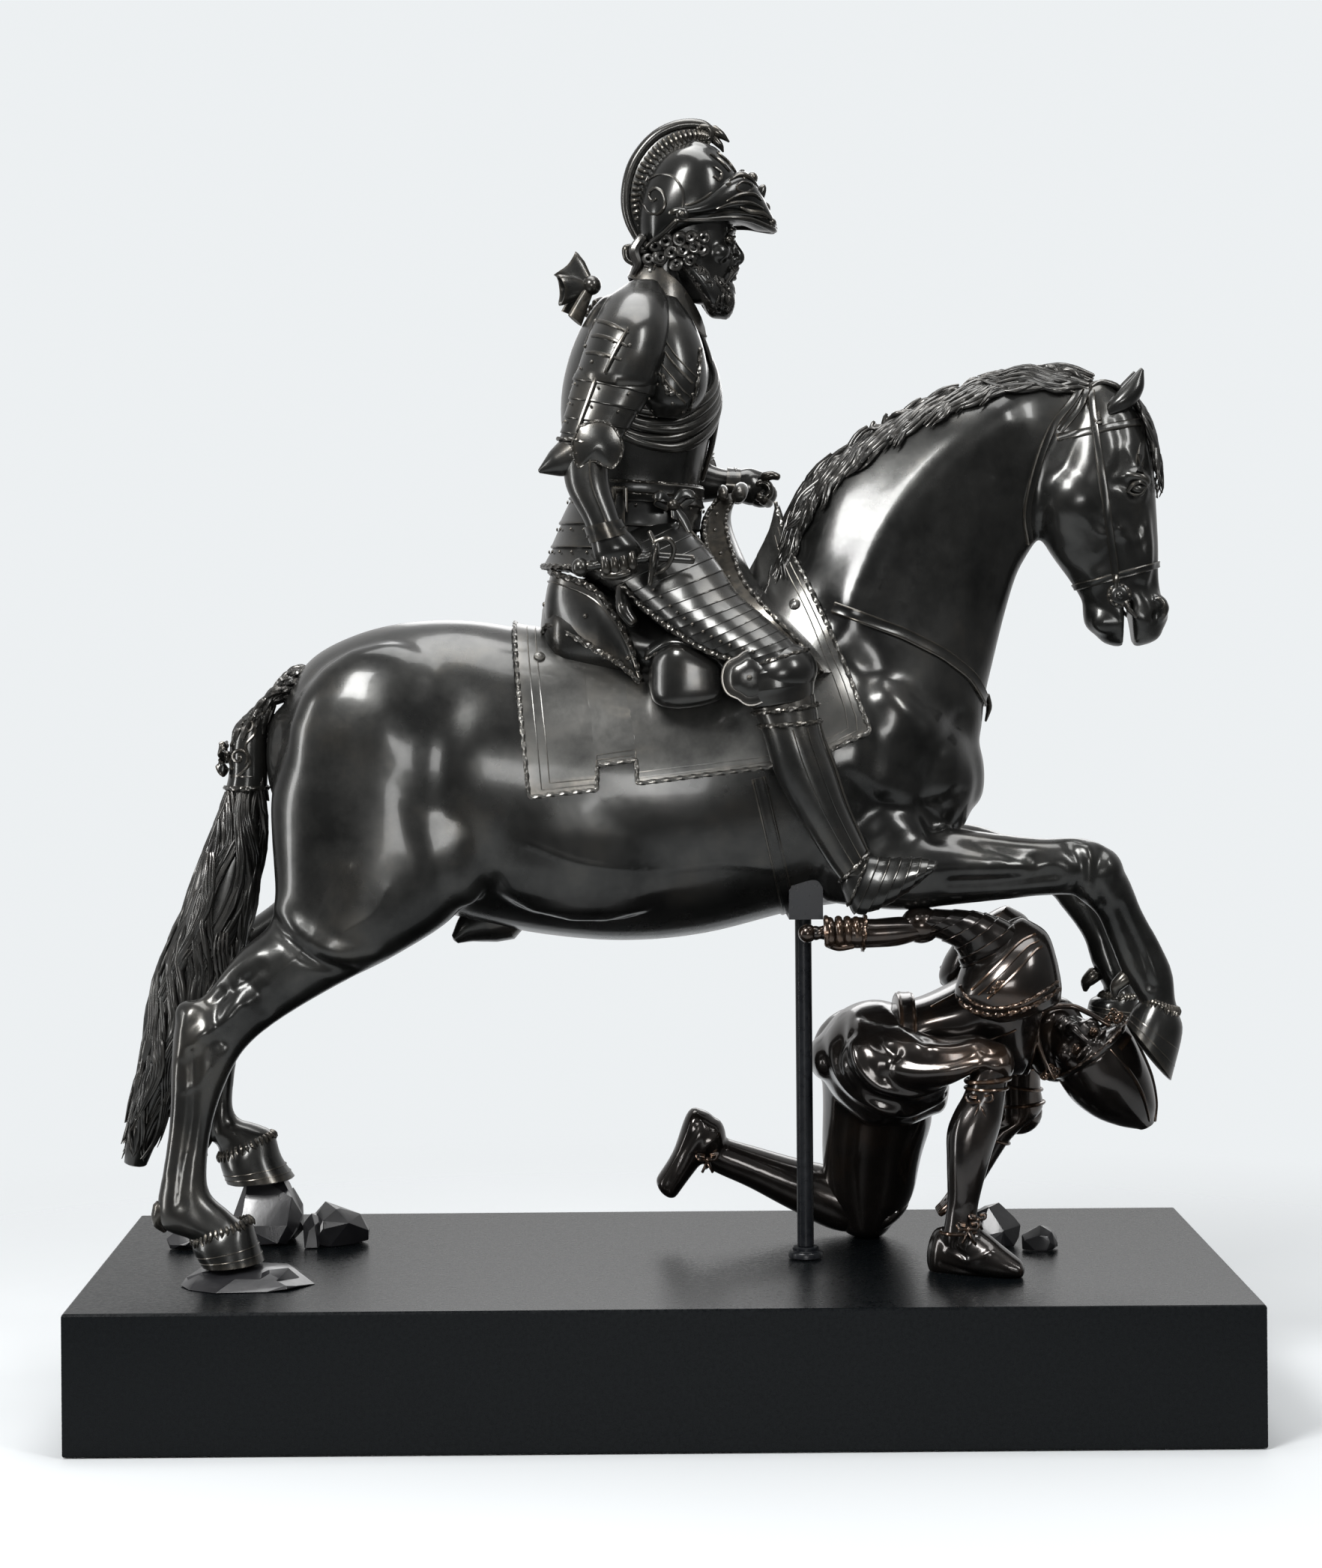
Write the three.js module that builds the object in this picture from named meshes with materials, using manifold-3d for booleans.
// Equestrian statuette: an armoured rider on a rearing horse above a fallen foot soldier,
// cast in bronze, on a plinth with a support rod. Millimetres, +Z up, +X to the horse's head,
// origin at the middle of the plinth's underside.
import * as THREE from 'three';
import { mergeVertices } from 'three/addons/utils/BufferGeometryUtils.js';
import Module from 'manifold-3d';

const wasm = await Module();
wasm.setup();

// Driving dimensions
const PLINTH_LENGTH = 670;
const PLINTH_DEPTH = 314;
const PLINTH_HEIGHT = 80;
const PLINTH_EDGE = 1.5;
const GROUP_HEIGHT = 685;
const GAP = 0.35;
const ROD_DIAMETER = 10;
const FLANGE_DIAMETER = 21;
const FLANGE_THICKNESS = 4;
const COLLAR_DIAMETER = 16;
const COLLAR_HEIGHT = 3;
const CRADLE_LENGTH = 20;
const CRADLE_WIDTH = 84;
const CRADLE_HEIGHT = 34;
const CLOTH_THICKNESS = 2.4;
const STRAP_THICKNESS = 2;
const STRAP_WIDTH = 6.5;
const BRIDLE_WIDTH = 4;
const BRIDLE_THICKNESS = 1.1;
const SCREW_DIAMETER = 7;
const SCREW_HEIGHT = 2;
const SCREW_SLOT = 1.4;
const GRIP_DIAMETER = 6.5;
const ROPE_DIAMETER = 3;
const ROD_SIDES = 16;
const REACH = 120;

// The figures are drawn on a group of this height, measured from the plinth's top, and
// every station below is scaled from it to GROUP_HEIGHT.
const DRAWN_HEIGHT = 685;
const SCALE = GROUP_HEIGHT / DRAWN_HEIGHT;
const ROD_PLACE = [87 * SCALE, -8 * SCALE];
const ROD_TOP = 206 * SCALE;

// Stations. A rib is [topX, topZ, bottomX, bottomZ, y, halfWidth].
const TRUNK = [
  [-224, 334, -224, 270, 0, 30], [-209, 360, -212, 240, 0, 53], [-183, 375, -184, 221, 0, 65],
  [-151, 383, -150, 215, 0, 71], [-112, 384, -112, 204, 0, 71], [-68, 377, -68, 195, 0, 71],
  [-20, 371, -20, 191, 0, 73], [28, 371, 28, 195, 0, 72], [70, 386, 82, 208, 0, 66],
  [108, 386, 132, 217, 0, 60], [144, 368, 160, 236, 0, 56], [171, 342, 181, 254, 0, 44],
  [190, 313, 190, 270, 0, 24],
];
const NECK = [
  [60, 400, 150, 262, 0, 50], [79, 425, 190, 300, 0, 47], [85, 440, 198, 336, 0, 42],
  [100, 466, 203, 356, 0, 36], [121, 485, 208, 376, 0, 32], [145, 501, 213, 394, 0, 29],
  [173, 515, 218, 409, 0, 27], [198, 524, 224, 420, 0, 25], [225, 528, 232, 432, 0, 24],
  [252, 526, 243, 448, 0, 22], [266, 520, 256, 466, 0, 17],
];
const HEAD = [
  [272, 524, 249, 502, 0, 14], [286, 513, 238, 477, 0, 21], [295, 497, 231, 452, 0, 26],
  [300, 475, 229, 436, 0, 26], [302, 448, 236, 424, 0, 23], [303, 425, 247, 408, 0, 18],
  [303, 407, 256, 394, 0, 15], [306, 393, 258, 383, 0, 16], [310, 382, 260, 373, 0, 17],
  [306, 370, 266, 365, 0, 12],
];
const HIND_NEAR = [
  [-112, 322, -212, 336, -30, 39], [-102, 270, -228, 287, -34, 38], [-102, 238, -228, 252, -39, 35],
  [-120, 210, -226, 225, -44, 30], [-152, 189, -229, 206, -49, 24], [-188, 171, -246, 191, -53, 18],
  [-221, 152, -265, 167, -57, 14], [-241, 136, -281, 156, -60, 13], [-252, 118, -285, 131, -62, 12],
  [-260, 96, -286, 96, -64, 9.5], [-264, 72, -289, 70, -66, 9.5], [-263, 53, -293, 47, -68, 11],
  [-252, 42, -290, 32, -69, 12], [-244, 35, -271, 25, -69, 14], [-240, 30, -271, 21, -69, 17],
  [-231, 13, -267, 10, -69, 20],
];
const HIND_FAR = [
  [-112, 322, -212, 336, 30, 39], [-102, 270, -228, 287, 34, 38], [-104, 238, -228, 252, 39, 35],
  [-134, 212, -228, 227, 44, 28], [-184, 194, -233, 214, 49, 21], [-227, 182, -258, 195, 53, 16],
  [-254, 161, -284, 174, 57, 13], [-258, 138, -286, 148, 60, 12], [-261, 115, -286, 115, 61, 9.5],
  [-264, 85, -288, 85, 62, 9.5], [-259, 75, -282, 66, 63, 11], [-248, 72, -273, 59, 63, 13],
  [-238, 59, -270, 49, 63, 17], [-226, 40, -268, 36, 63, 20],
];
const FORE_NEAR = [
  [104, 280, 100, 215, -34, 22], [142, 260, 142, 211, -41, 24], [169, 260, 173, 214, -43, 21],
  [200, 256, 204, 217, -43, 17], [226, 253, 226, 219, -42, 14], [248, 253, 244, 219, -41, 14.5],
  [265, 247, 249, 216, -40, 15], [277, 230, 259, 207, -38, 12], [286, 209, 265, 194, -36, 9.5],
  [296, 191, 271, 179, -34, 9], [304, 173, 276, 168, -32, 11], [306, 156, 285, 154, -31, 10],
  [309, 134, 281, 148, -30, 14], [301, 108, 278, 141, -30, 18],
];
const FORE_FAR = [
  [110, 280, 104, 213, 34, 22], [149, 259, 144, 209, 39, 24], [191, 257, 186, 215, 41, 18],
  [218, 249, 213, 217, 40, 15], [250, 245, 238, 215, 36, 14.5], [265, 227, 248, 205, 34, 12],
  [276, 199, 260, 188, 32, 9.5], [284, 176, 265, 172, 30, 9.5], [288, 163, 269, 163, 30, 11],
  [290, 155, 273, 156, 30, 10], [293, 146, 265, 148, 30, 14], [292, 134, 263, 141, 30, 17],
];
const TAIL = [
  [-203, 356, -214, 342, 0, 9], [-222, 352, -238, 332, 0, 11], [-234, 322, -254, 316, -1, 11],
  [-235, 289, -257, 289, -2, 13], [-236, 258, -267, 258, -3, 16], [-242, 217, -282, 217, -3, 18],
  [-252, 177, -297, 177, -2, 18], [-270, 136, -308, 136, -1, 17], [-287, 105, -315, 105, 1, 15],
  [-300, 73, -323, 73, 2, 12], [-307, 55, -325, 58, 3, 8],
];
const TORSO = [
  [-16, 580, 23, 560, 0, 20], [-32, 576, 26, 552, 0, 44], [-47, 552, 33, 536, 0, 54],
  [-55, 523, 37, 517, 0, 52], [-55, 495, 34, 495, 0, 48], [-47, 468, 27, 464, 0, 41],
  [-50, 466, 29, 460, 0, 45], [-50, 460, 29, 453, 0, 46], [-62, 426, 23, 423, 0, 53],
  [-67, 418, 19, 411, 0, 57], [-67, 412, 17, 405, 0, 57], [-58, 408, 14, 400, 0, 50],
  [-52, 396, 12, 388, 0, 44],
];
const UPPER_ARM = [
  [-34, 566, 14, 566, -54, 18], [-46, 540, 8, 528, -64, 19], [-48, 518, -4, 508, -68, 18],
  [-50, 502, -16, 494, -72, 16], [-56, 487, -23, 482, -76, 14.5],
];
const NEAR_FOREARM = [
  [-54, 481, -26, 485, -77, 13], [-52, 461, -27, 465, -80, 13], [-41, 439, -21, 443, -84, 11],
  [-36, 426, -16, 431, -87, 9.5],
];
const NEAR_FIST = [
  [-35, 425, -17, 430, -87, 9], [-35, 412, -12, 427, -88, 10.5], [-30, 405, -6, 420, -88, 10.5],
  [-22, 403, -5, 414, -88, 8],
];
const FAR_UPPER_ARM = [
  [14, 566, -34, 566, 54, 18], [18, 540, -28, 530, 64, 19], [24, 512, -18, 506, 68, 17],
  [31, 492, -5, 482, 70, 15], [38, 484, 4, 468, 70, 14],
];
const FAR_FOREARM = [
  [12, 488, 12, 457, 70, 13], [30, 482, 28, 456, 67, 12.5], [43, 477, 40, 457, 64, 11],
  [54, 475, 53, 457, 60, 9.5],
];
const FAR_FIST = [
  [54, 476, 54, 456, 60, 9], [62, 477, 61, 452, 60, 10.5], [72, 475, 70, 450, 60, 10.5],
  [78, 468, 77, 456, 60, 7],
];
const THIGH = [
  [8, 446, -54, 414, -24, 32], [31, 424, -24, 400, -52, 30], [47, 399, -1, 382, -70, 26],
  [62, 385, 21, 366, -82, 22], [78, 370, 42, 358, -90, 20], [87, 357, 50, 350, -92, 19],
];
const KNEE = [
  [84, 364, 48, 354, -91, 19], [89, 352, 46, 344, -92, 21], [88, 340, 54, 334, -93, 18.5],
];
const SHIN = [
  [89, 346, 54, 340, -93, 17], [94, 317, 61, 315, -95, 18], [100, 300, 67, 294, -96, 17],
  [107, 278, 79, 271, -97, 14.5], [115, 259, 94, 247, -97, 11.5], [121, 246, 107, 229, -97, 10],
];
const FOOT = [
  [114, 250, 105, 226, -97, 9.5], [126, 246, 112, 214, -97, 11], [139, 246, 126, 217, -98, 12.5],
  [150, 246, 143, 227, -99, 13], [158, 244, 154, 236, -99, 9],
];
const COLLAR = [
  [-12, 596, 5, 588, 0, 16], [-18, 588, 20, 562, 0, 26], [-8, 572, 30, 552, 0, 24],
];
const SKULL = [
  [-2, 600, 12, 574, 0, 15], [-6, 622, 40, 578, 0, 21], [0, 644, 52, 600, 0, 23],
  [14, 660, 52, 630, 0, 20],
];
const BEARD = [
  [12, 606, 22, 590, 0, 19], [26, 610, 28, 576, 0, 20], [42, 598, 36, 564, 0, 15],
  [49, 590, 42, 562, 0, 9],
];
const HELMET_BOWL = [
  [-3, 604, 14, 614, 0, 18], [-8, 626, 34, 618, 0, 26], [-5, 646, 52, 624, 0, 28],
  [5, 661, 54, 644, 0, 25], [18, 669, 44, 662, 0, 16],
];
const COMB = [
  [-5, 606, 16, 618, 0, 3], [-14, 624, 4, 630, 0, 3.6], [-16, 642, 2, 640, 0, 4], [-11, 661, 8, 650, 0, 4],
  [1, 676, 14, 656, 0, 4], [16, 684, 22, 660, 0, 4], [30, 685, 30, 661, 0, 4.4], [39, 680, 34, 664, 0, 5],
];
const VISOR = [
  [12, 628, 12, 618, 0, 28.5], [34, 640, 32, 619, 0, 28.5], [54, 646, 50, 618, 0, 24],
  [66, 632, 62, 613, 0, 17], [76, 618, 70, 610, 0, 9],
];
const SOLDIER_TORSO = [
  [143, 156, 142, 101, 0, 36], [155, 154, 161, 124, 0, 34], [179, 165, 174, 122, 0, 39],
  [199, 182, 185, 120, 0, 44], [222, 184, 199, 115, 0, 44], [235, 168, 212, 107, 0, 34],
  [243, 153, 226, 105, 0, 23],
];
const BREECHES = [
  [97, 130, 99, 105, 10, 28], [111, 146, 108, 92, 8, 44], [129, 153, 127, 78, 4, 52],
  [147, 149, 149, 79, 0, 50], [160, 135, 165, 85, 0, 40],
];
const SOLDIER_NEAR_THIGH = [
  [120, 146, 118, 105, -20, 24], [144, 141, 140, 103, -34, 28], [168, 136, 165, 108, -44, 26],
  [187, 138, 182, 116, -50, 20], [204, 133, 186, 112, -54, 15],
];
const SOLDIER_NEAR_SHIN = [
  [205, 124, 182, 118, -55, 14], [202, 104, 178, 105, -56, 13], [199, 87, 167, 85, -58, 14],
  [192, 66, 166, 66, -60, 12], [185, 39, 166, 42, -60, 9.5], [184, 24, 165, 22, -60, 10],
];
const SOLDIER_NEAR_SHOE = [
  [166, 26, 162, 2, -50, 10], [183, 27, 170, 1, -57, 12], [195, 20, 189, 1, -65, 13],
  [205, 11, 202, 1, -72, 11], [211, 7, 210, 2, -76, 7],
];
const SOLDIER_FAR_THIGH = [
  [99, 121, 152, 102, 30, 34], [101, 87, 168, 81, 44, 34], [101, 52, 163, 52, 54, 29],
  [104, 25, 156, 23, 62, 25], [113, 6, 142, 4, 64, 19],
];
const SOLDIER_FAR_SHIN = [
  [154, 24, 130, 2, 64, 20], [117, 40, 107, 4, 66, 20], [85, 48, 80, 17, 68, 18],
  [61, 55, 56, 30, 68, 14], [42, 61, 33, 41, 66, 11], [33, 66, 25, 49, 64, 11],
];
const SOLDIER_FAR_FOOT = [
  [36, 72, 34, 48, 63, 11], [20, 78, 27, 46, 62, 12], [9, 54, 20, 38, 62, 11],
  [-2, 38, 11, 26, 62, 9.5],
];
const SOLDIER_UPPER_ARM = [
  [228, 172, 184, 176, -34, 22], [217, 197, 178, 178, -42, 21], [199, 207, 174, 189, -46, 16],
  [184, 211, 158, 197, -48, 13], [162, 212, 148, 199, -48, 12],
];
const SOLDIER_NEAR_FOREARM = [
  [166, 206, 158, 196, -48, 11], [144, 208, 141, 191, -50, 11], [126, 207, 123, 190, -52, 9.5],
  [116, 208, 116, 190, -53, 9],
];
const SOLDIER_NEAR_FIST = [
  [118, 208, 118, 190, -53, 8.5], [110, 209, 110, 188, -54, 10.5], [102, 206, 102, 190, -54, 8.5],
];
const SOLDIER_FAR_ARM = [
  [236, 140, 214, 128, 34, 20], [235, 98, 210, 102, 46, 16], [236, 79, 211, 74, 51, 14.5],
  [217, 62, 200, 67, 48, 11.5], [198, 36, 184, 38, 40, 9.5], [190, 26, 174, 26, 36, 9],
];
const SOLDIER_NECK = [
  [230, 158, 206, 112, 0, 22], [243, 152, 224, 108, 0, 20], [250, 146, 236, 108, 0, 16],
];
const SOLDIER_HEAD = [
  [236, 146, 228, 112, -4, 17], [253, 148, 234, 102, -4, 22], [270, 144, 250, 94, -4, 23],
  [279, 134, 262, 92, -4, 21],
];
const MORION = [
  [272, 146, 226, 110, -4, 30], [279, 139, 236, 102, -4, 33], [281, 134, 244, 98, -4, 25],
  [290, 116, 258, 84, -4, 22], [297, 96, 276, 76, -4, 14], [299, 84, 289, 73, -4, 6],
];

// Small helpers
const AXIS_Y = new THREE.Vector3(0, 1, 0);
const PLATE_EDGE = 0.06;
const drawn = (point) => new THREE.Vector3(...point).multiplyScalar(SCALE);
const mirrored = (ribs) => ribs.map(([tx, tz, bx, bz, y, w]) => [tx, tz, bx, bz, -y, w]);
const flipY = ([x, y, z]) => [x, -y, z];
const unite = (...solids) => solids.flat(Infinity).reduce((whole, next) => whole.add(next));
const mix = (a, b, t) => a + (b - a) * t;

// A closed geometry as a solid that can be joined and cut.
function toSolid(geometry) {
  geometry.deleteAttribute('normal');
  geometry.deleteAttribute('uv');
  const merged = mergeVertices(geometry, 1e-4);
  return new wasm.Manifold(new wasm.Mesh({
    numProp: 3,
    vertProperties: new Float32Array(merged.attributes.position.array),
    triVerts: new Uint32Array(merged.index.array),
  }));
}

function toGeometry(solid) {
  const { vertProperties, triVerts } = solid.getMesh();
  const geometry = new THREE.BufferGeometry();
  geometry.setAttribute('position', new THREE.BufferAttribute(vertProperties, 3));
  geometry.setIndex(new THREE.BufferAttribute(triVerts, 1));
  geometry.computeVertexNormals();
  return geometry;
}

// A closed skin over rings of equal length, with a point at either end.
function skin(rings, startTip, endTip) {
  const sides = rings[0].length;
  const points = [...rings.flat(), startTip, endTip];
  const start = points.length - 2;
  const end = points.length - 1;
  const last = (rings.length - 1) * sides;
  const faces = [];
  for (let side = 0; side < sides; side++) {
    const next = (side + 1) % sides;
    for (let row = 0; row < last; row += sides) {
      faces.push([row + side, row + next, row + sides + next]);
      faces.push([row + side, row + sides + next, row + sides + side]);
    }
    faces.push([start, next, side], [end, last + side, last + next]);
  }
  const volume = faces.reduce((sum, [a, b, c]) => (
    sum + points[a].dot(points[b].clone().cross(points[c]))), 0);
  const turned = volume < 0 ? faces.map(([a, b, c]) => [a, c, b]) : faces;
  const geometry = new THREE.BufferGeometry();
  geometry.setFromPoints(points);
  geometry.setIndex(turned.flat());
  return toSolid(geometry);
}

// Stations between the given ribs, on a smooth curve through them.
function smoothed(ribs, steps) {
  const at = (index) => ribs[Math.min(Math.max(index, 0), ribs.length - 1)];
  const out = [];
  for (let index = 0; index < ribs.length - 1; index++) {
    for (let step = 0; step < steps; step++) {
      const t = step / steps;
      out.push(at(index).map((value, channel) => {
        const [p0, p1, p2, p3] = [-1, 0, 1, 2].map((shift) => at(index + shift)[channel]);
        return 0.5 * (2 * p1 + (p2 - p0) * t + (2 * p0 - 5 * p1 + 4 * p2 - p3) * t * t
          + (3 * p1 - p0 - 3 * p2 + p3) * t * t * t);
      }));
    }
  }
  out.push(ribs[ribs.length - 1]);
  return out;
}

// A body through ribs. grow moves its whole surface out in true millimetres, lames gives
// overlapping plates along it and flutes gives ridges round it, both as a share of its radius.
function loft(ribs, options = {}) {
  const {
    sides = 12, steps = 1, grow = 0, square = 2, lames = 0, lap = 0.06, flutes = 0,
    depth = 0.08, bulge = 0.35, twist = 0,
  } = options;
  let stations = smoothed(ribs, lames ? 1 : steps);
  if (lames) {
    const curve = smoothed(ribs, 6);
    const sample = (t) => {
      const place = t * (curve.length - 1);
      const low = Math.min(Math.floor(place), curve.length - 2);
      return curve[low].map((value, channel) => mix(value, curve[low + 1][channel], place - low));
    };
    stations = [];
    for (let lame = 0; lame < lames; lame++) {
      stations.push([...sample((lame + PLATE_EDGE) / lames), 1 - lap]);
      stations.push([...sample((lame + 1 - PLATE_EDGE) / lames), 1 + lap]);
    }
  }
  const rings = stations.map((rib, row) => {
    const [tx, tz, bx, bz, y, w, swell = 1] = rib;
    const top = drawn([tx, y, tz]);
    const bottom = drawn([bx, y, bz]);
    const centre = top.clone().add(bottom).multiplyScalar(0.5);
    const half = top.clone().sub(bottom).multiplyScalar(0.5);
    const reach = half.length() * swell + grow;
    const width = w * SCALE * swell + grow;
    half.normalize();
    return Array.from({ length: sides }, (_, side) => {
      const angle = (side / sides) * 2 * Math.PI;
      const c = Math.cos(angle);
      const s = Math.sin(angle);
      const round = (Math.abs(c) ** square + Math.abs(s) ** square) ** (-1 / square);
      const ridge = flutes ? 1 + depth * Math.cos(flutes * angle + twist * row) : 1;
      return centre.clone()
        .addScaledVector(half, reach * round * ridge * c)
        .addScaledVector(AXIS_Y, width * round * ridge * s);
    });
  });
  const middle = (ring) => ring.reduce((sum, p) => sum.add(p), new THREE.Vector3()).divideScalar(sides);
  const tip = (ring, inner) => {
    const centre = middle(ring);
    const away = centre.clone().sub(middle(inner)).normalize();
    return centre.addScaledVector(away, grow + bulge * ring[0].distanceTo(ring[sides >> 1]) / 2);
  };
  const count = rings.length;
  return skin(rings, tip(rings[0], rings[1]), tip(rings[count - 1], rings[count - 2]));
}

// A round bar along points, with one radius or a radius for each point.
function tube([points, radius], { sides = 6, steps = 0, grow = 0 } = {}) {
  const curve = new THREE.CatmullRomCurve3(points.map(drawn));
  const rows = steps || points.length - 1;
  const frames = curve.computeFrenetFrames(rows);
  const radiusAt = (t) => {
    if (!Array.isArray(radius)) return radius * SCALE + grow;
    const place = t * (radius.length - 1);
    const low = Math.min(Math.floor(place), radius.length - 2);
    return mix(radius[low], radius[low + 1], place - low) * SCALE + grow;
  };
  const rings = [];
  for (let row = 0; row <= rows; row++) {
    const t = row / rows;
    const centre = curve.getPoint(t);
    rings.push(Array.from({ length: sides }, (_, side) => {
      const angle = (side / sides) * 2 * Math.PI;
      return centre.clone()
        .addScaledVector(frames.normals[row], radiusAt(t) * Math.cos(angle))
        .addScaledVector(frames.binormals[row], radiusAt(t) * Math.sin(angle));
    }));
  }
  const startTip = curve.getPoint(0).addScaledVector(frames.tangents[0], -radiusAt(0) / 2);
  const endTip = curve.getPoint(1).addScaledVector(frames.tangents[rows], radiusAt(1) / 2);
  return skin(rings, startTip, endTip);
}

// An ellipsoid, tilted about the Y axis by so many degrees.
function ball(centre, radii, { tilt = 0, sides = 10, rows = 7, grow = 0 } = {}) {
  const geometry = new THREE.SphereGeometry(1, sides, rows);
  geometry.rotateX(Math.PI / 2);
  geometry.scale(...radii.map((radius) => radius * SCALE + grow));
  geometry.rotateY(THREE.MathUtils.degToRad(tilt));
  geometry.translate(...drawn(centre));
  return toSolid(geometry);
}

// A plate with its outline in side view, between two places across.
function prism(outline, yLow, yHigh) {
  const shape = new THREE.Shape(outline.map(([x, z]) => new THREE.Vector2(x * SCALE, z * SCALE)));
  const geometry = new THREE.ExtrudeGeometry(shape, {
    depth: (yHigh - yLow) * SCALE, bevelEnabled: false, curveSegments: 6,
  });
  geometry.rotateX(Math.PI / 2);
  geometry.translate(0, yHigh * SCALE, 0);
  return toSolid(geometry);
}

// A plate of true width along a line of points in side view, right across the group.
function band(points, width) {
  const line = points.map(([x, z]) => new THREE.Vector2(x, z));
  const offset = (side) => line.map((point, index) => {
    const before = line[Math.max(index - 1, 0)];
    const after = line[Math.min(index + 1, line.length - 1)];
    const across = after.clone().sub(before).normalize().rotateAround(new THREE.Vector2(), Math.PI / 2);
    return point.clone().addScaledVector(across, (side * width) / 2 / SCALE);
  });
  return prism([...offset(1), ...offset(-1).reverse()].map((point) => [point.x, point.y]), -REACH, REACH);
}

function boxSolid(size, centre) {
  const geometry = new THREE.BoxGeometry(...size);
  geometry.translate(...centre);
  return toSolid(geometry);
}

// A round bar that stands where the support rod stands.
function upright(radius, low, high) {
  const profile = [[0, low], [radius, low], [radius, high], [0, high]];
  const geometry = new THREE.LatheGeometry(profile.map(([x, z]) => new THREE.Vector2(x, z)), ROD_SIDES);
  geometry.rotateX(Math.PI / 2);
  geometry.translate(...ROD_PLACE, 0);
  return toSolid(geometry);
}

// The same ellipsoid on both sides of the group.
const pair = ([centre, radii], options) => [1, -1].map((side) => (
  ball([centre[0], side * centre[1], centre[2]], radii, options)));
// Ellipsoids from [centre, radii, tilt, sides], on one side of the group.
const lumps = (list, side = 1) => list.map(([[x, y, z], radii, tilt, sides]) => (
  ball([x, side * y, z], radii, { tilt, sides, rows: Math.ceil(sides / 2) + 1 })));

const overPlinth = boxSolid([PLINTH_LENGTH, PLINTH_DEPTH, 2 * GROUP_HEIGHT], [0, 0, GROUP_HEIGHT + GAP]);

const MATERIALS = {
  bronze: { color: 0x2a2521, roughness: 0.35, metalness: 0.9 },
  brown: { color: 0x33231a, roughness: 0.3, metalness: 0.9 },
  black: { color: 0x0c0d0f, roughness: 0.5, metalness: 0 },
  paint: { color: 0x1a1c20, roughness: 0.45, metalness: 0.4 },
  rock: { color: 0x111214, roughness: 0.3, metalness: 0.1 },
};

// Horse
const LEG_SIDES = 8;
const JAW = [[256, 0, 456], [27, 24, 28]];
const EAR = [[268, 503, 288, 510, 13, 6], [276, 516, 291, 517, 14, 6], [289, 531, 291, 528, 14, 2]];
const NOSTRIL = [[306, 10, 386], [5, 7, 7]];
const BROW = [[287, 21, 463], [9, 6, 7]];
const BIT_BOSS = [[280, 16, 393], [6.5, 5, 9]];
const TESTICLES = [[-156, -4, 201], [12, 10, 20]];
const SHEATH = [[[-100, 0, 206], [-112, 0, 199], [-122, 0, 192]], [17, 12, 4]];
const MOUTH_GAP = [[281, 386], [285, 384], [281, 362], [275, 360]];
const MOUTH_HALF = 20;
const BRIDLE = {
  browband: [[240, 491], [296, 501]],
  cheekpiece: [[262, 524], [262, 500], [266, 455], [275, 406]],
  noseband: [[244, 399], [282, 410], [304, 415]],
};
const FORELOCK = [
  [[[284, -1, 518], [296, -4, 500], [301, -5, 478], [303, -4, 452]], [6, 7, 6, 3]],
  [[[284, 5, 515], [295, 8, 496], [300, 9, 474], [301, 7, 458]], [6, 7, 6, 3]],
];

const legs = (grow = 0) => [HIND_NEAR, HIND_FAR, FORE_NEAR, FORE_FAR].map((ribs) => (
  loft(ribs, { sides: LEG_SIDES, grow, bulge: 0 })));
const body = (grow = 0) => unite(
  loft(TRUNK, { sides: 12, grow, square: 2.15 }), loft(NECK, { sides: 10, grow }));
const head = (grow = 0) => unite(
  loft(HEAD, { sides: 8, grow, bulge: 0.5 }), ball(...JAW, { sides: 8, rows: 6, grow }));
const horseForm = (grow = 0) => unite(body(grow), head(grow), legs(grow));

// The mane is a row of wavy locks rooted along the crest that fall to the far side.
const CREST = [
  [80, 0, 430], [95, 0, 456], [119, 0, 481], [148, 0, 500], [180, 0, 514], [211, 0, 524],
  [240, 0, 526], [264, 0, 519],
];
const LOCKS = 9;
const LOCK_RADII = [4, 6.5, 8, 8, 6.5, 3];
const crestCurve = new THREE.CatmullRomCurve3(CREST.map((point) => new THREE.Vector3(...point)));
const maneLocks = Array.from({ length: LOCKS }, (_, index) => {
  const t = (index + 0.5) / LOCKS;
  const root = crestCurve.getPoint(t);
  const along = crestCurve.getTangent(t);
  const rise = 1 + 3 * Math.sin(index * 2.1);
  const fall = 26 + 6 * Math.sin(index * 1.3);
  const course = [
    [3, -9, -8], [0, -5, -1], [-6, 1, rise], [-12, 11, -3], [-17, 21, -fall / 2], [-14, 26, -fall],
  ];
  const points = course.map(([back, y, z], place) => (place < 2
    ? root.clone().add(new THREE.Vector3(back, y, z))
    : root.clone().addScaledVector(along, back).add(new THREE.Vector3(0, y, z))));
  return tube([points.map((point) => point.toArray()), LOCK_RADII], { sides: 4, steps: 4 });
});

const bridle = Object.values(BRIDLE).map((line) => (
  head(BRIDLE_THICKNESS).intersect(band(line, BRIDLE_WIDTH))));
const horse = unite(
  horseForm().subtract(prism(MOUTH_GAP, -MOUTH_HALF, MOUTH_HALF)), maneLocks, bridle,
  loft(EAR, { sides: 7, bulge: 0.4 }), loft(mirrored(EAR), { sides: 7, bulge: 0.4 }),
  pair(BIT_BOSS, { sides: 6, rows: 5 }), pair(NOSTRIL, { sides: 5, rows: 3 }),
  pair(BROW, { sides: 6, rows: 3 }), ball(...TESTICLES, { sides: 7, rows: 5 }),
  tube(SHEATH, { sides: 6, steps: 2 }),
  FORELOCK.map((lock) => tube(lock, { sides: 5, steps: 3 })),
);

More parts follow.
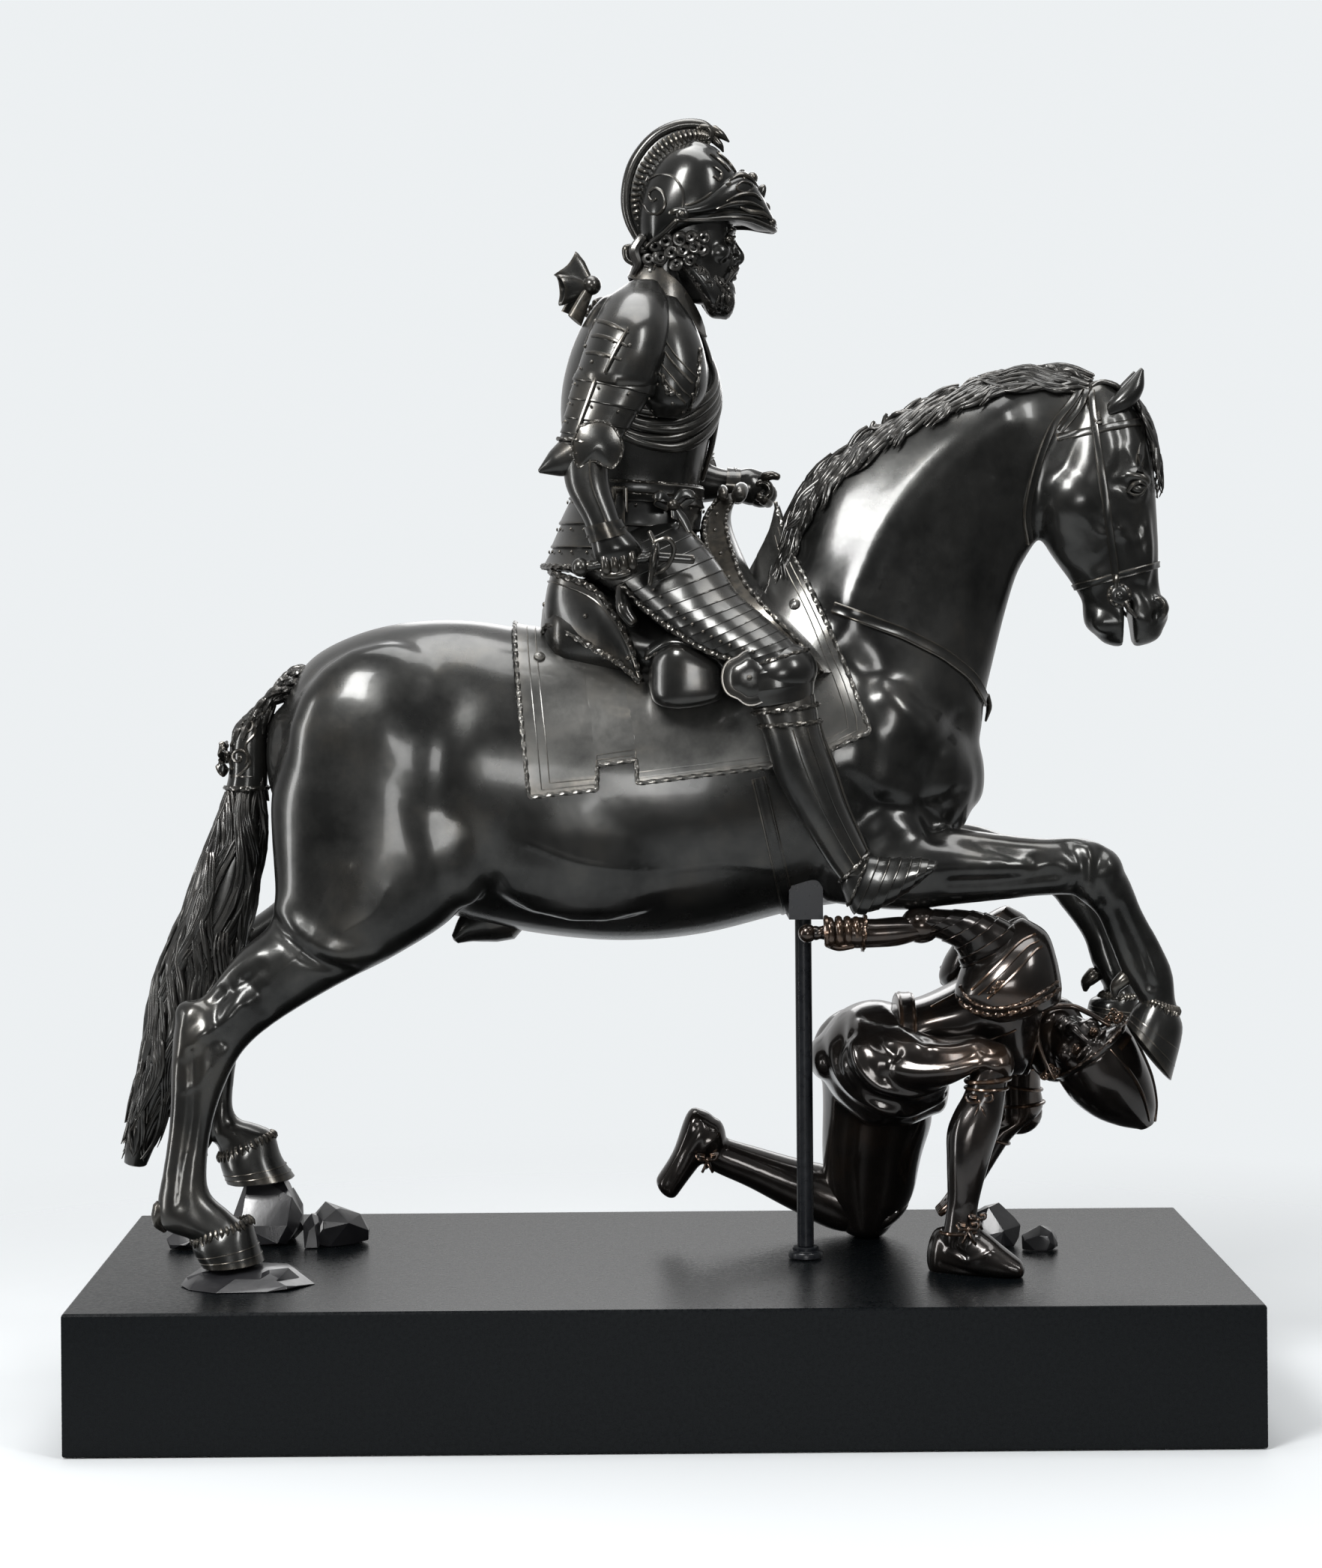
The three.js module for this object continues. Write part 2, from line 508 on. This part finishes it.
// Tail, let in at the dock, with the knot that ties it up
const TAIL_KNOT = [[-246, 0, 300], [14, 15, 10]];
const tail = unite(
  loft(TAIL, { sides: 10, flutes: 5, depth: 0.1, twist: 0.4, bulge: 0.4 }),
  ball(...TAIL_KNOT, { sides: 8, rows: 5 }),
).subtract(horseForm(GAP));

// Breast strap, proud of the chest
const BREAST_STRAP = [[104, 390], [146, 374], [170, 362], [188, 348], [200, 326]];
const breastStrap = body(GAP + STRAP_THICKNESS).intersect(band(BREAST_STRAP, STRAP_WIDTH))
  .subtract(body(GAP));

// Saddle cloth with its notch, bent over the back
const CLOTH = [
  [-85, 420], [-85, 380], [-75, 281], [-35, 285], [-35, 300], [-12, 303], [-9, 289], [62, 297],
  [102, 307], [124, 317], [119, 329], [102, 377], [91, 403], [80, 428], [72, 445], [20, 445],
];
const clothOuter = (grow = 0) => body(GAP + CLOTH_THICKNESS + grow);
const cloth = clothOuter().intersect(prism(CLOTH, -REACH, REACH)).subtract(body(GAP)).subtract(horse);

// Screws that hold the cloth
const SCREWS = { rear: [-69, 362], front: [82, 392] };
const SHANK_MIDDLE = 40;
const SLOT_TURN = 0.4;
function screw([x, z], side) {
  const shank = new THREE.CylinderGeometry(SCREW_DIAMETER / 2, SCREW_DIAMETER / 2, 2 * SHANK_MIDDLE, 10);
  shank.translate(...drawn([x, side * SHANK_MIDDLE, z]));
  const slot = new THREE.BoxGeometry(2 * SCREW_DIAMETER, 4 * SHANK_MIDDLE, SCREW_SLOT);
  slot.rotateY(SLOT_TURN);
  slot.translate(...drawn([x, 0, z]));
  const top = SCREW_HEIGHT + GAP;
  return clothOuter(top).intersect(toSolid(shank)).subtract(clothOuter(GAP))
    .subtract(toSolid(slot).subtract(clothOuter(top / 2)));
}

// Saddle: seat, cantle with its roll, pommel and thigh blocks
const SEAT = [
  [-54, 396, -54, 340, 0, 50], [-10, 386, -10, 340, 0, 56], [30, 392, 30, 340, 0, 54],
  [46, 412, 46, 350, 0, 46],
];
const CANTLE = [
  [-66, 411], [-52, 408], [-38, 400], [-25, 386], [-16, 369], [-8, 346], [-14, 340], [-33, 352], [-62, 368],
];
const CANTLE_PLAN = [
  [-68, 420, -68, 330, 0, 38], [-52, 420, -52, 330, 0, 58], [-24, 420, -24, 330, 0, 66],
  [2, 420, 2, 330, 0, 68],
];
const CANTLE_ROLL = [
  [-65, 30, 411], [-54, 46, 408], [-38, 56, 400], [-25, 60, 386], [-15, 62, 369], [-9, 63, 348],
];
const CANTLE_HOLLOW = [[-20, 0, 408], [42, 50, 44]];
const POMMEL = [[42, 458], [37, 440], [42, 420], [51, 404], [68, 384], [85, 366], [96, 350]];
const POMMEL_HALF = [[0, 455], [11, 452], [24, 440], [44, 420], [62, 400], [78, 380], [84, 362], [60, 340]];
const POMMEL_THICKNESS = 9;
const BLOCK = [[-4, 350], [0, 362], [8, 369], [20, 366], [36, 358], [37, 338], [20, 333], [3, 332]];
const BLOCK_SWELL = [[14, 64, 350], [30, 31, 28]];
const pommelFront = [...POMMEL_HALF, ...POMMEL_HALF.slice(1).reverse().map(([y, z]) => [-y, z])];
const cantleRoll = [...CANTLE_ROLL.map(flipY).reverse(), ...CANTLE_ROLL];
const saddleForm = (grow = 0) => unite(
  prism(CANTLE, -REACH, REACH).intersect(loft(CANTLE_PLAN, { sides: 12, square: 3, grow }))
    .subtract(ball(...CANTLE_HOLLOW, { sides: 10, rows: 6 })),
  tube([cantleRoll, ROPE_DIAMETER / 2], { sides: 4, steps: 9, grow }),
  loft(SEAT, { sides: 10, grow }),
  band(POMMEL, POMMEL_THICKNESS + 2 * grow).intersect(prism(pommelFront, -REACH, 0).rotate([0, 0, 90])),
  pair(BLOCK_SWELL, { sides: 10, rows: 6, grow }).map((swell) => swell.intersect(prism(BLOCK, -REACH, REACH))),
);
const saddle = saddleForm().subtract(clothOuter(GAP)).subtract(body(GAP));

// Rider
const LAMES = { upperArm: 3, fist: 3, thigh: 6, foot: 3, comb: 8 };
const PAULDRON = [
  [[-14, 54, 548], [31, 22, 30], 0, 8], [[10, 48, 540], [20, 12, 34], -16, 7],
  [[-38, 44, 540], [15, 12, 30], 12, 6],
];
const NEAR_ELBOW = [[[-42, -77, 479], [15, 14, 13], 0, 7], [[-32, -88, 484], [14, 5, 13], 0, 7]];
const FAR_ELBOW = [[[16, 70, 474], [15, 14, 14], 0, 7], [[26, 80, 480], [13, 5, 12], 0, 7]];
const ELBOW_SPIKE = [[[-46, -78, 478], [-58, -80, 473], [-68, -81, 468]], [13, 9, 2]];
const KNEE_WING = [[[54, 108, 350], [14, 5, 15], 0, 6]];
const THIGH_RIDGE = [[-24, 74, 412], [0, 92, 388], [22, 103, 370], [50, 110, 361]];
const THIGH_RIDGE_RADIUS = 2;
const arm = (upper, fore, fist, elbow) => [
  loft(upper, { sides: 8, lames: LAMES.upperArm, lap: 0.05 }), lumps(elbow),
  loft(fore, { sides: 7 }), loft(fist, { sides: 6, lames: LAMES.fist }),
];
const leg = (side) => {
  const turned = (ribs) => (side < 0 ? ribs : mirrored(ribs));
  const ridge = side < 0 ? THIGH_RIDGE.map(flipY) : THIGH_RIDGE;
  return [
    loft(turned(THIGH), { sides: 8, lames: LAMES.thigh, lap: 0.025 }),
    loft(turned(KNEE), { sides: 8 }), lumps(KNEE_WING, side),
    loft(turned(SHIN), { sides: 8 }), loft(turned(FOOT), { sides: 6, lames: LAMES.foot, lap: 0.04 }),
    tube([ridge, THIGH_RIDGE_RADIUS], { sides: 4, steps: 3 }),
  ];
};

const SASH = [
  [-44, -44, 560], [0, -56, 522], [26, -42, 500], [37, 0, 506], [30, 40, 530], [-6, 54, 556],
  [-40, 40, 566], [-52, 0, 564], [-44, -44, 560],
];
const SASH_RADIUS = 6;
const SASH_KNOT = [[[-36, 0, 580], [8, 11, 8], 0, 7]];
const SASH_ENDS = [
  [[[-34, 6, 580], [-41, 13, 588], [-39, 17, 594]], [4, 7, 2]],
  [[[-36, -6, 579], [-42, -13, 574], [-42, -15, 565]], [4, 6, 2]],
];
const COLLAR_HOOK = [[[6, -6, 594], [-8, -6, 596], [-16, -6, 600], [-15, -6, 608]], [2, 2, 2.5, 1.5]];
const SWORD_HANGER = [[[-20, -66, 402], [-19, -72, 390], [-14, -74, 382]], [4, 5, 3.5]];
const NOSE = [[[46, 0, 612], [52, 0, 604], [53, 0, 599]], [3, 4, 3.5]];
const COMB_BEAK = [[[36, 0, 680], [42, 0, 676], [47, 0, 672]], [5, 5, 1]];
const CURLS = [[[2, 18, 606], [9, 6, 8]], [[15, 21, 606], [9, 6, 8]]];
const VISOR_BOSS = [[60, 9, 640], [5, 5, 5]];
const VISOR_PIVOT = [[16, 28, 622], [4, 3, 4]];
const riderHead = [
  loft(SKULL, { sides: 8 }), loft(BEARD, { sides: 10, flutes: 5, depth: 0.07 }),
  tube(NOSE, { sides: 6, steps: 2 }), CURLS.flatMap((curl) => pair(curl, { sides: 5, rows: 3 })),
  loft(HELMET_BOWL, { sides: 10 }), loft(VISOR, { sides: 10 }),
  loft(COMB, { sides: 6, lames: LAMES.comb, lap: 0.1, bulge: 0 }),
  tube(COMB_BEAK, { sides: 5, steps: 2 }),
  pair(VISOR_BOSS, { sides: 5, rows: 4 }), pair(VISOR_PIVOT, { sides: 6, rows: 4 }),
];

// The swords: grip, pommel, guard and what is left of the blade
const RIDER_SWORD = {
  grip: [[-44, -88, 414], [-2, -88, 420]], stub: [[-2, -88, 420], [21, -88, 418]],
  quillon: [[-2, -88, 432], [-2, -90, 420], [-4, -89, 404]],
  pommelRadii: [5, 5, 6], shellRadii: [3, 9, 9], quillonRadii: [2, 3, 2], stubRadius: 2.6,
};
const riderSword = (grow = 0) => unite(
  tube([RIDER_SWORD.grip, GRIP_DIAMETER / 2], { sides: 6, grow }),
  ball(RIDER_SWORD.grip[0], RIDER_SWORD.pommelRadii, { sides: 6, rows: 4, grow }),
  tube([RIDER_SWORD.quillon, RIDER_SWORD.quillonRadii], { sides: 4, steps: 2, grow }),
  ball(RIDER_SWORD.grip[1], RIDER_SWORD.shellRadii, { sides: 8, rows: 4, grow }),
  tube([RIDER_SWORD.stub, RIDER_SWORD.stubRadius], { sides: 4, grow }),
);
const SOLDIER_SWORD = {
  grip: [[87, -54, 199], [112, -54, 200]], gripRadius: 4, pommelRadii: [5.5, 5.5, 5.5],
};
const soldierSword = (grow = 0) => unite(
  tube([SOLDIER_SWORD.grip, SOLDIER_SWORD.gripRadius], { sides: 8, grow }),
  ball(SOLDIER_SWORD.grip[0], SOLDIER_SWORD.pommelRadii, { sides: 8, rows: 6, grow }),
);

const rider = unite(
  loft(TORSO, { sides: 10, square: 2.3 }), lumps(PAULDRON, -1), lumps(PAULDRON, 1),
  arm(UPPER_ARM, NEAR_FOREARM, NEAR_FIST, NEAR_ELBOW), tube(ELBOW_SPIKE, { sides: 6, steps: 2 }),
  arm(FAR_UPPER_ARM, FAR_FOREARM, FAR_FIST, FAR_ELBOW), leg(-1), leg(1),
  tube([SASH, SASH_RADIUS], { sides: 4, steps: 12 }), lumps(SASH_KNOT),
  SASH_ENDS.map((end) => tube(end, { sides: 5, steps: 2 })),
  riderHead, loft(COLLAR, { sides: 10, bulge: 0 }), tube(COLLAR_HOOK, { sides: 4, steps: 3 }),
  tube(SWORD_HANGER, { sides: 6, steps: 3 }),
).subtract(saddleForm(GAP)).subtract(clothOuter(GAP)).subtract(riderSword(GAP));

// Fallen soldier
const SOLDIER_JOINTS = [
  [[196, -55, 122], [12, 15, 13], 0, 6], [[204, -40, 170], [32, 20, 30], 30, 8],
  [[204, 38, 160], [28, 20, 28], 30, 7], [[222, 52, 78], [15, 11, 14], 0, 6],
];
const SOLDIER_NOSE = [[[238, -4, 112], [230, -4, 108], [228, -4, 113]], [3.5, 4.5, 3]];
const MORION_RIDGE = [[[278, -4, 141], [292, -4, 116], [300, -4, 84], [296, -4, 72]], [2, 2.5, 2, 1]];
const SOLDIER_BOWS = [
  [[[190, -46, 112], [184, -66, 106], [180, -66, 94]], [4, 5, 2]],
  [[[176, -62, 38], [184, -68, 30], [176, -72, 22]], [3, 4, 3]],
];
const soldierShin = (grow = 0) => loft(SOLDIER_NEAR_SHIN, { sides: 7, grow });
const soldierShoe = (grow = 0) => loft(SOLDIER_NEAR_SHOE, { sides: 7, grow });
const soldierFarArm = (grow = 0) => loft(SOLDIER_FAR_ARM, { sides: 7, grow });
const soldier = unite(
  loft(SOLDIER_TORSO, { sides: 9 }), loft(BREECHES, { sides: 14, flutes: 7, depth: 0.05 }),
  loft(SOLDIER_NEAR_THIGH, { sides: 10, flutes: 5, depth: 0.06 }), soldierShin(), soldierShoe(),
  loft(SOLDIER_FAR_THIGH, { sides: 10, flutes: 5, depth: 0.05 }), loft(SOLDIER_FAR_SHIN, { sides: 8 }),
  loft(SOLDIER_FAR_FOOT, { sides: 7 }),
  loft(SOLDIER_UPPER_ARM, { sides: 8, lames: LAMES.upperArm, lap: 0.04 }),
  lumps(SOLDIER_JOINTS), loft(SOLDIER_NEAR_FOREARM, { sides: 7 }), loft(SOLDIER_NEAR_FIST, { sides: 7 }),
  soldierFarArm(), loft(SOLDIER_NECK, { sides: 8 }), loft(SOLDIER_HEAD, { sides: 8 }),
  tube(SOLDIER_NOSE, { sides: 5, steps: 2 }), loft(MORION, { sides: 10 }),
  tube(MORION_RIDGE, { sides: 4, steps: 4 }),
  SOLDIER_BOWS.map((bow) => tube(bow, { sides: 5, steps: 2 })),
).subtract(horseForm(GAP)).subtract(soldierSword(GAP))
  .subtract(upright(ROD_DIAMETER / 2 + GAP, 0, ROD_TOP)).intersect(overPlinth);

// Rocks: faceted lumps with a flat base. Each is [centre, radii, seed].
const ROCKS = {
  near_hind_rock: [[-240, -70, 3], [42, 36, 9], 1.2],
  far_hind_rock: [[-246, 62, 18], [30, 34, 34], 2.6],
  side_rock: [[-200, 52, 8], [20, 22, 22], 4.1],
  rear_rock: [[-292, 40, 4], [12, 12, 10], 0.4],
  hand_rock: [[200, 32, 6], [22, 18, 22], 3.3],
  toe_rock: [[230, 14, 4], [15, 13, 13], 5.2],
};
const ROCK_NEIGHBOURS = { side_rock: 'far_hind_rock', rear_rock: 'far_hind_rock', toe_rock: 'hand_rock' };
const ROCK_CLEARANCE = 1;
function lump([centre, radii, seed], grow = 0) {
  const geometry = new THREE.IcosahedronGeometry(1, 1);
  const spots = geometry.attributes.position;
  for (let index = 0; index < spots.count; index++) {
    const spot = new THREE.Vector3().fromBufferAttribute(spots, index);
    const swell = 0.9 + 0.14 * Math.sin(spot.x * 7.1 + seed) * Math.cos(spot.y * 6.3 - seed)
      + 0.08 * Math.sin(spot.z * 9 + 2 * seed);
    spots.setXYZ(index, ...spot.multiplyScalar(swell).toArray());
  }
  geometry.scale(...radii.map((radius) => (radius + grow) * SCALE));
  geometry.translate(...drawn(centre));
  return toSolid(geometry).intersect(overPlinth);
}
function rock(name) {
  const neighbours = [horseForm(GAP), soldierFarArm(GAP), soldierShin(GAP), soldierShoe(GAP)];
  if (ROCK_NEIGHBOURS[name]) neighbours.push(lump(ROCKS[ROCK_NEIGHBOURS[name]], ROCK_CLEARANCE));
  return neighbours.reduce((solid, next) => solid.subtract(next), lump(ROCKS[name]));
}

// Plinth
function plinth() {
  const [halfLength, halfDepth] = [PLINTH_LENGTH, PLINTH_DEPTH].map((size) => size / 2 - PLINTH_EDGE);
  const shape = new THREE.Shape([
    [-halfLength, -halfDepth], [halfLength, -halfDepth], [halfLength, halfDepth], [-halfLength, halfDepth],
  ].map(([x, y]) => new THREE.Vector2(x, y)));
  const block = new THREE.ExtrudeGeometry(shape, {
    depth: PLINTH_HEIGHT - 2 * PLINTH_EDGE, bevelThickness: PLINTH_EDGE, bevelSize: PLINTH_EDGE,
    bevelSegments: 2,
  });
  block.translate(0, 0, PLINTH_EDGE);
  return toSolid(block);
}

// Support: a two-step foot, a round rod and a cradle cut to the belly
const collarTop = GAP + FLANGE_THICKNESS + COLLAR_HEIGHT;
const rodFoot = unite(
  upright(FLANGE_DIAMETER / 2, GAP, GAP + FLANGE_THICKNESS),
  upright(COLLAR_DIAMETER / 2, GAP + FLANGE_THICKNESS / 2, collarTop),
);
const rod = upright(ROD_DIAMETER / 2, collarTop + GAP, ROD_TOP - GAP);
const cradle = boxSolid(
  [CRADLE_LENGTH, CRADLE_WIDTH, CRADLE_HEIGHT], [ROD_PLACE[0], 0, ROD_TOP + CRADLE_HEIGHT / 2],
).subtract(body(GAP));

const group = new THREE.Group();
const onPlinth = new THREE.Group();
onPlinth.position.z = PLINTH_HEIGHT;
group.add(onPlinth);

function piece(name, solid, material, parent = onPlinth) {
  const mesh = new THREE.Mesh(toGeometry(solid), new THREE.MeshStandardMaterial(MATERIALS[material]));
  mesh.name = name;
  parent.add(mesh);
}

piece('plinth', plinth(), 'black', group);
piece('rod_foot', rodFoot, 'paint');
piece('support_rod', rod, 'paint');
piece('belly_cradle', cradle, 'paint');
piece('horse', horse, 'bronze');
piece('tail', tail, 'bronze');
piece('breast_strap', breastStrap, 'bronze');
piece('saddle_cloth', cloth, 'bronze');
for (const [place, spot] of Object.entries(SCREWS)) {
  piece(`${place}_screw_near`, screw(spot, -1), 'bronze');
  piece(`${place}_screw_far`, screw(spot, 1), 'bronze');
}
piece('saddle', saddle, 'bronze');
piece('rider', rider, 'bronze');
piece('rider_sword', riderSword(), 'bronze');
piece('soldier', soldier, 'brown');
piece('soldier_sword', soldierSword(), 'brown');
for (const name of Object.keys(ROCKS)) piece(name, rock(name), 'rock');

export default group;
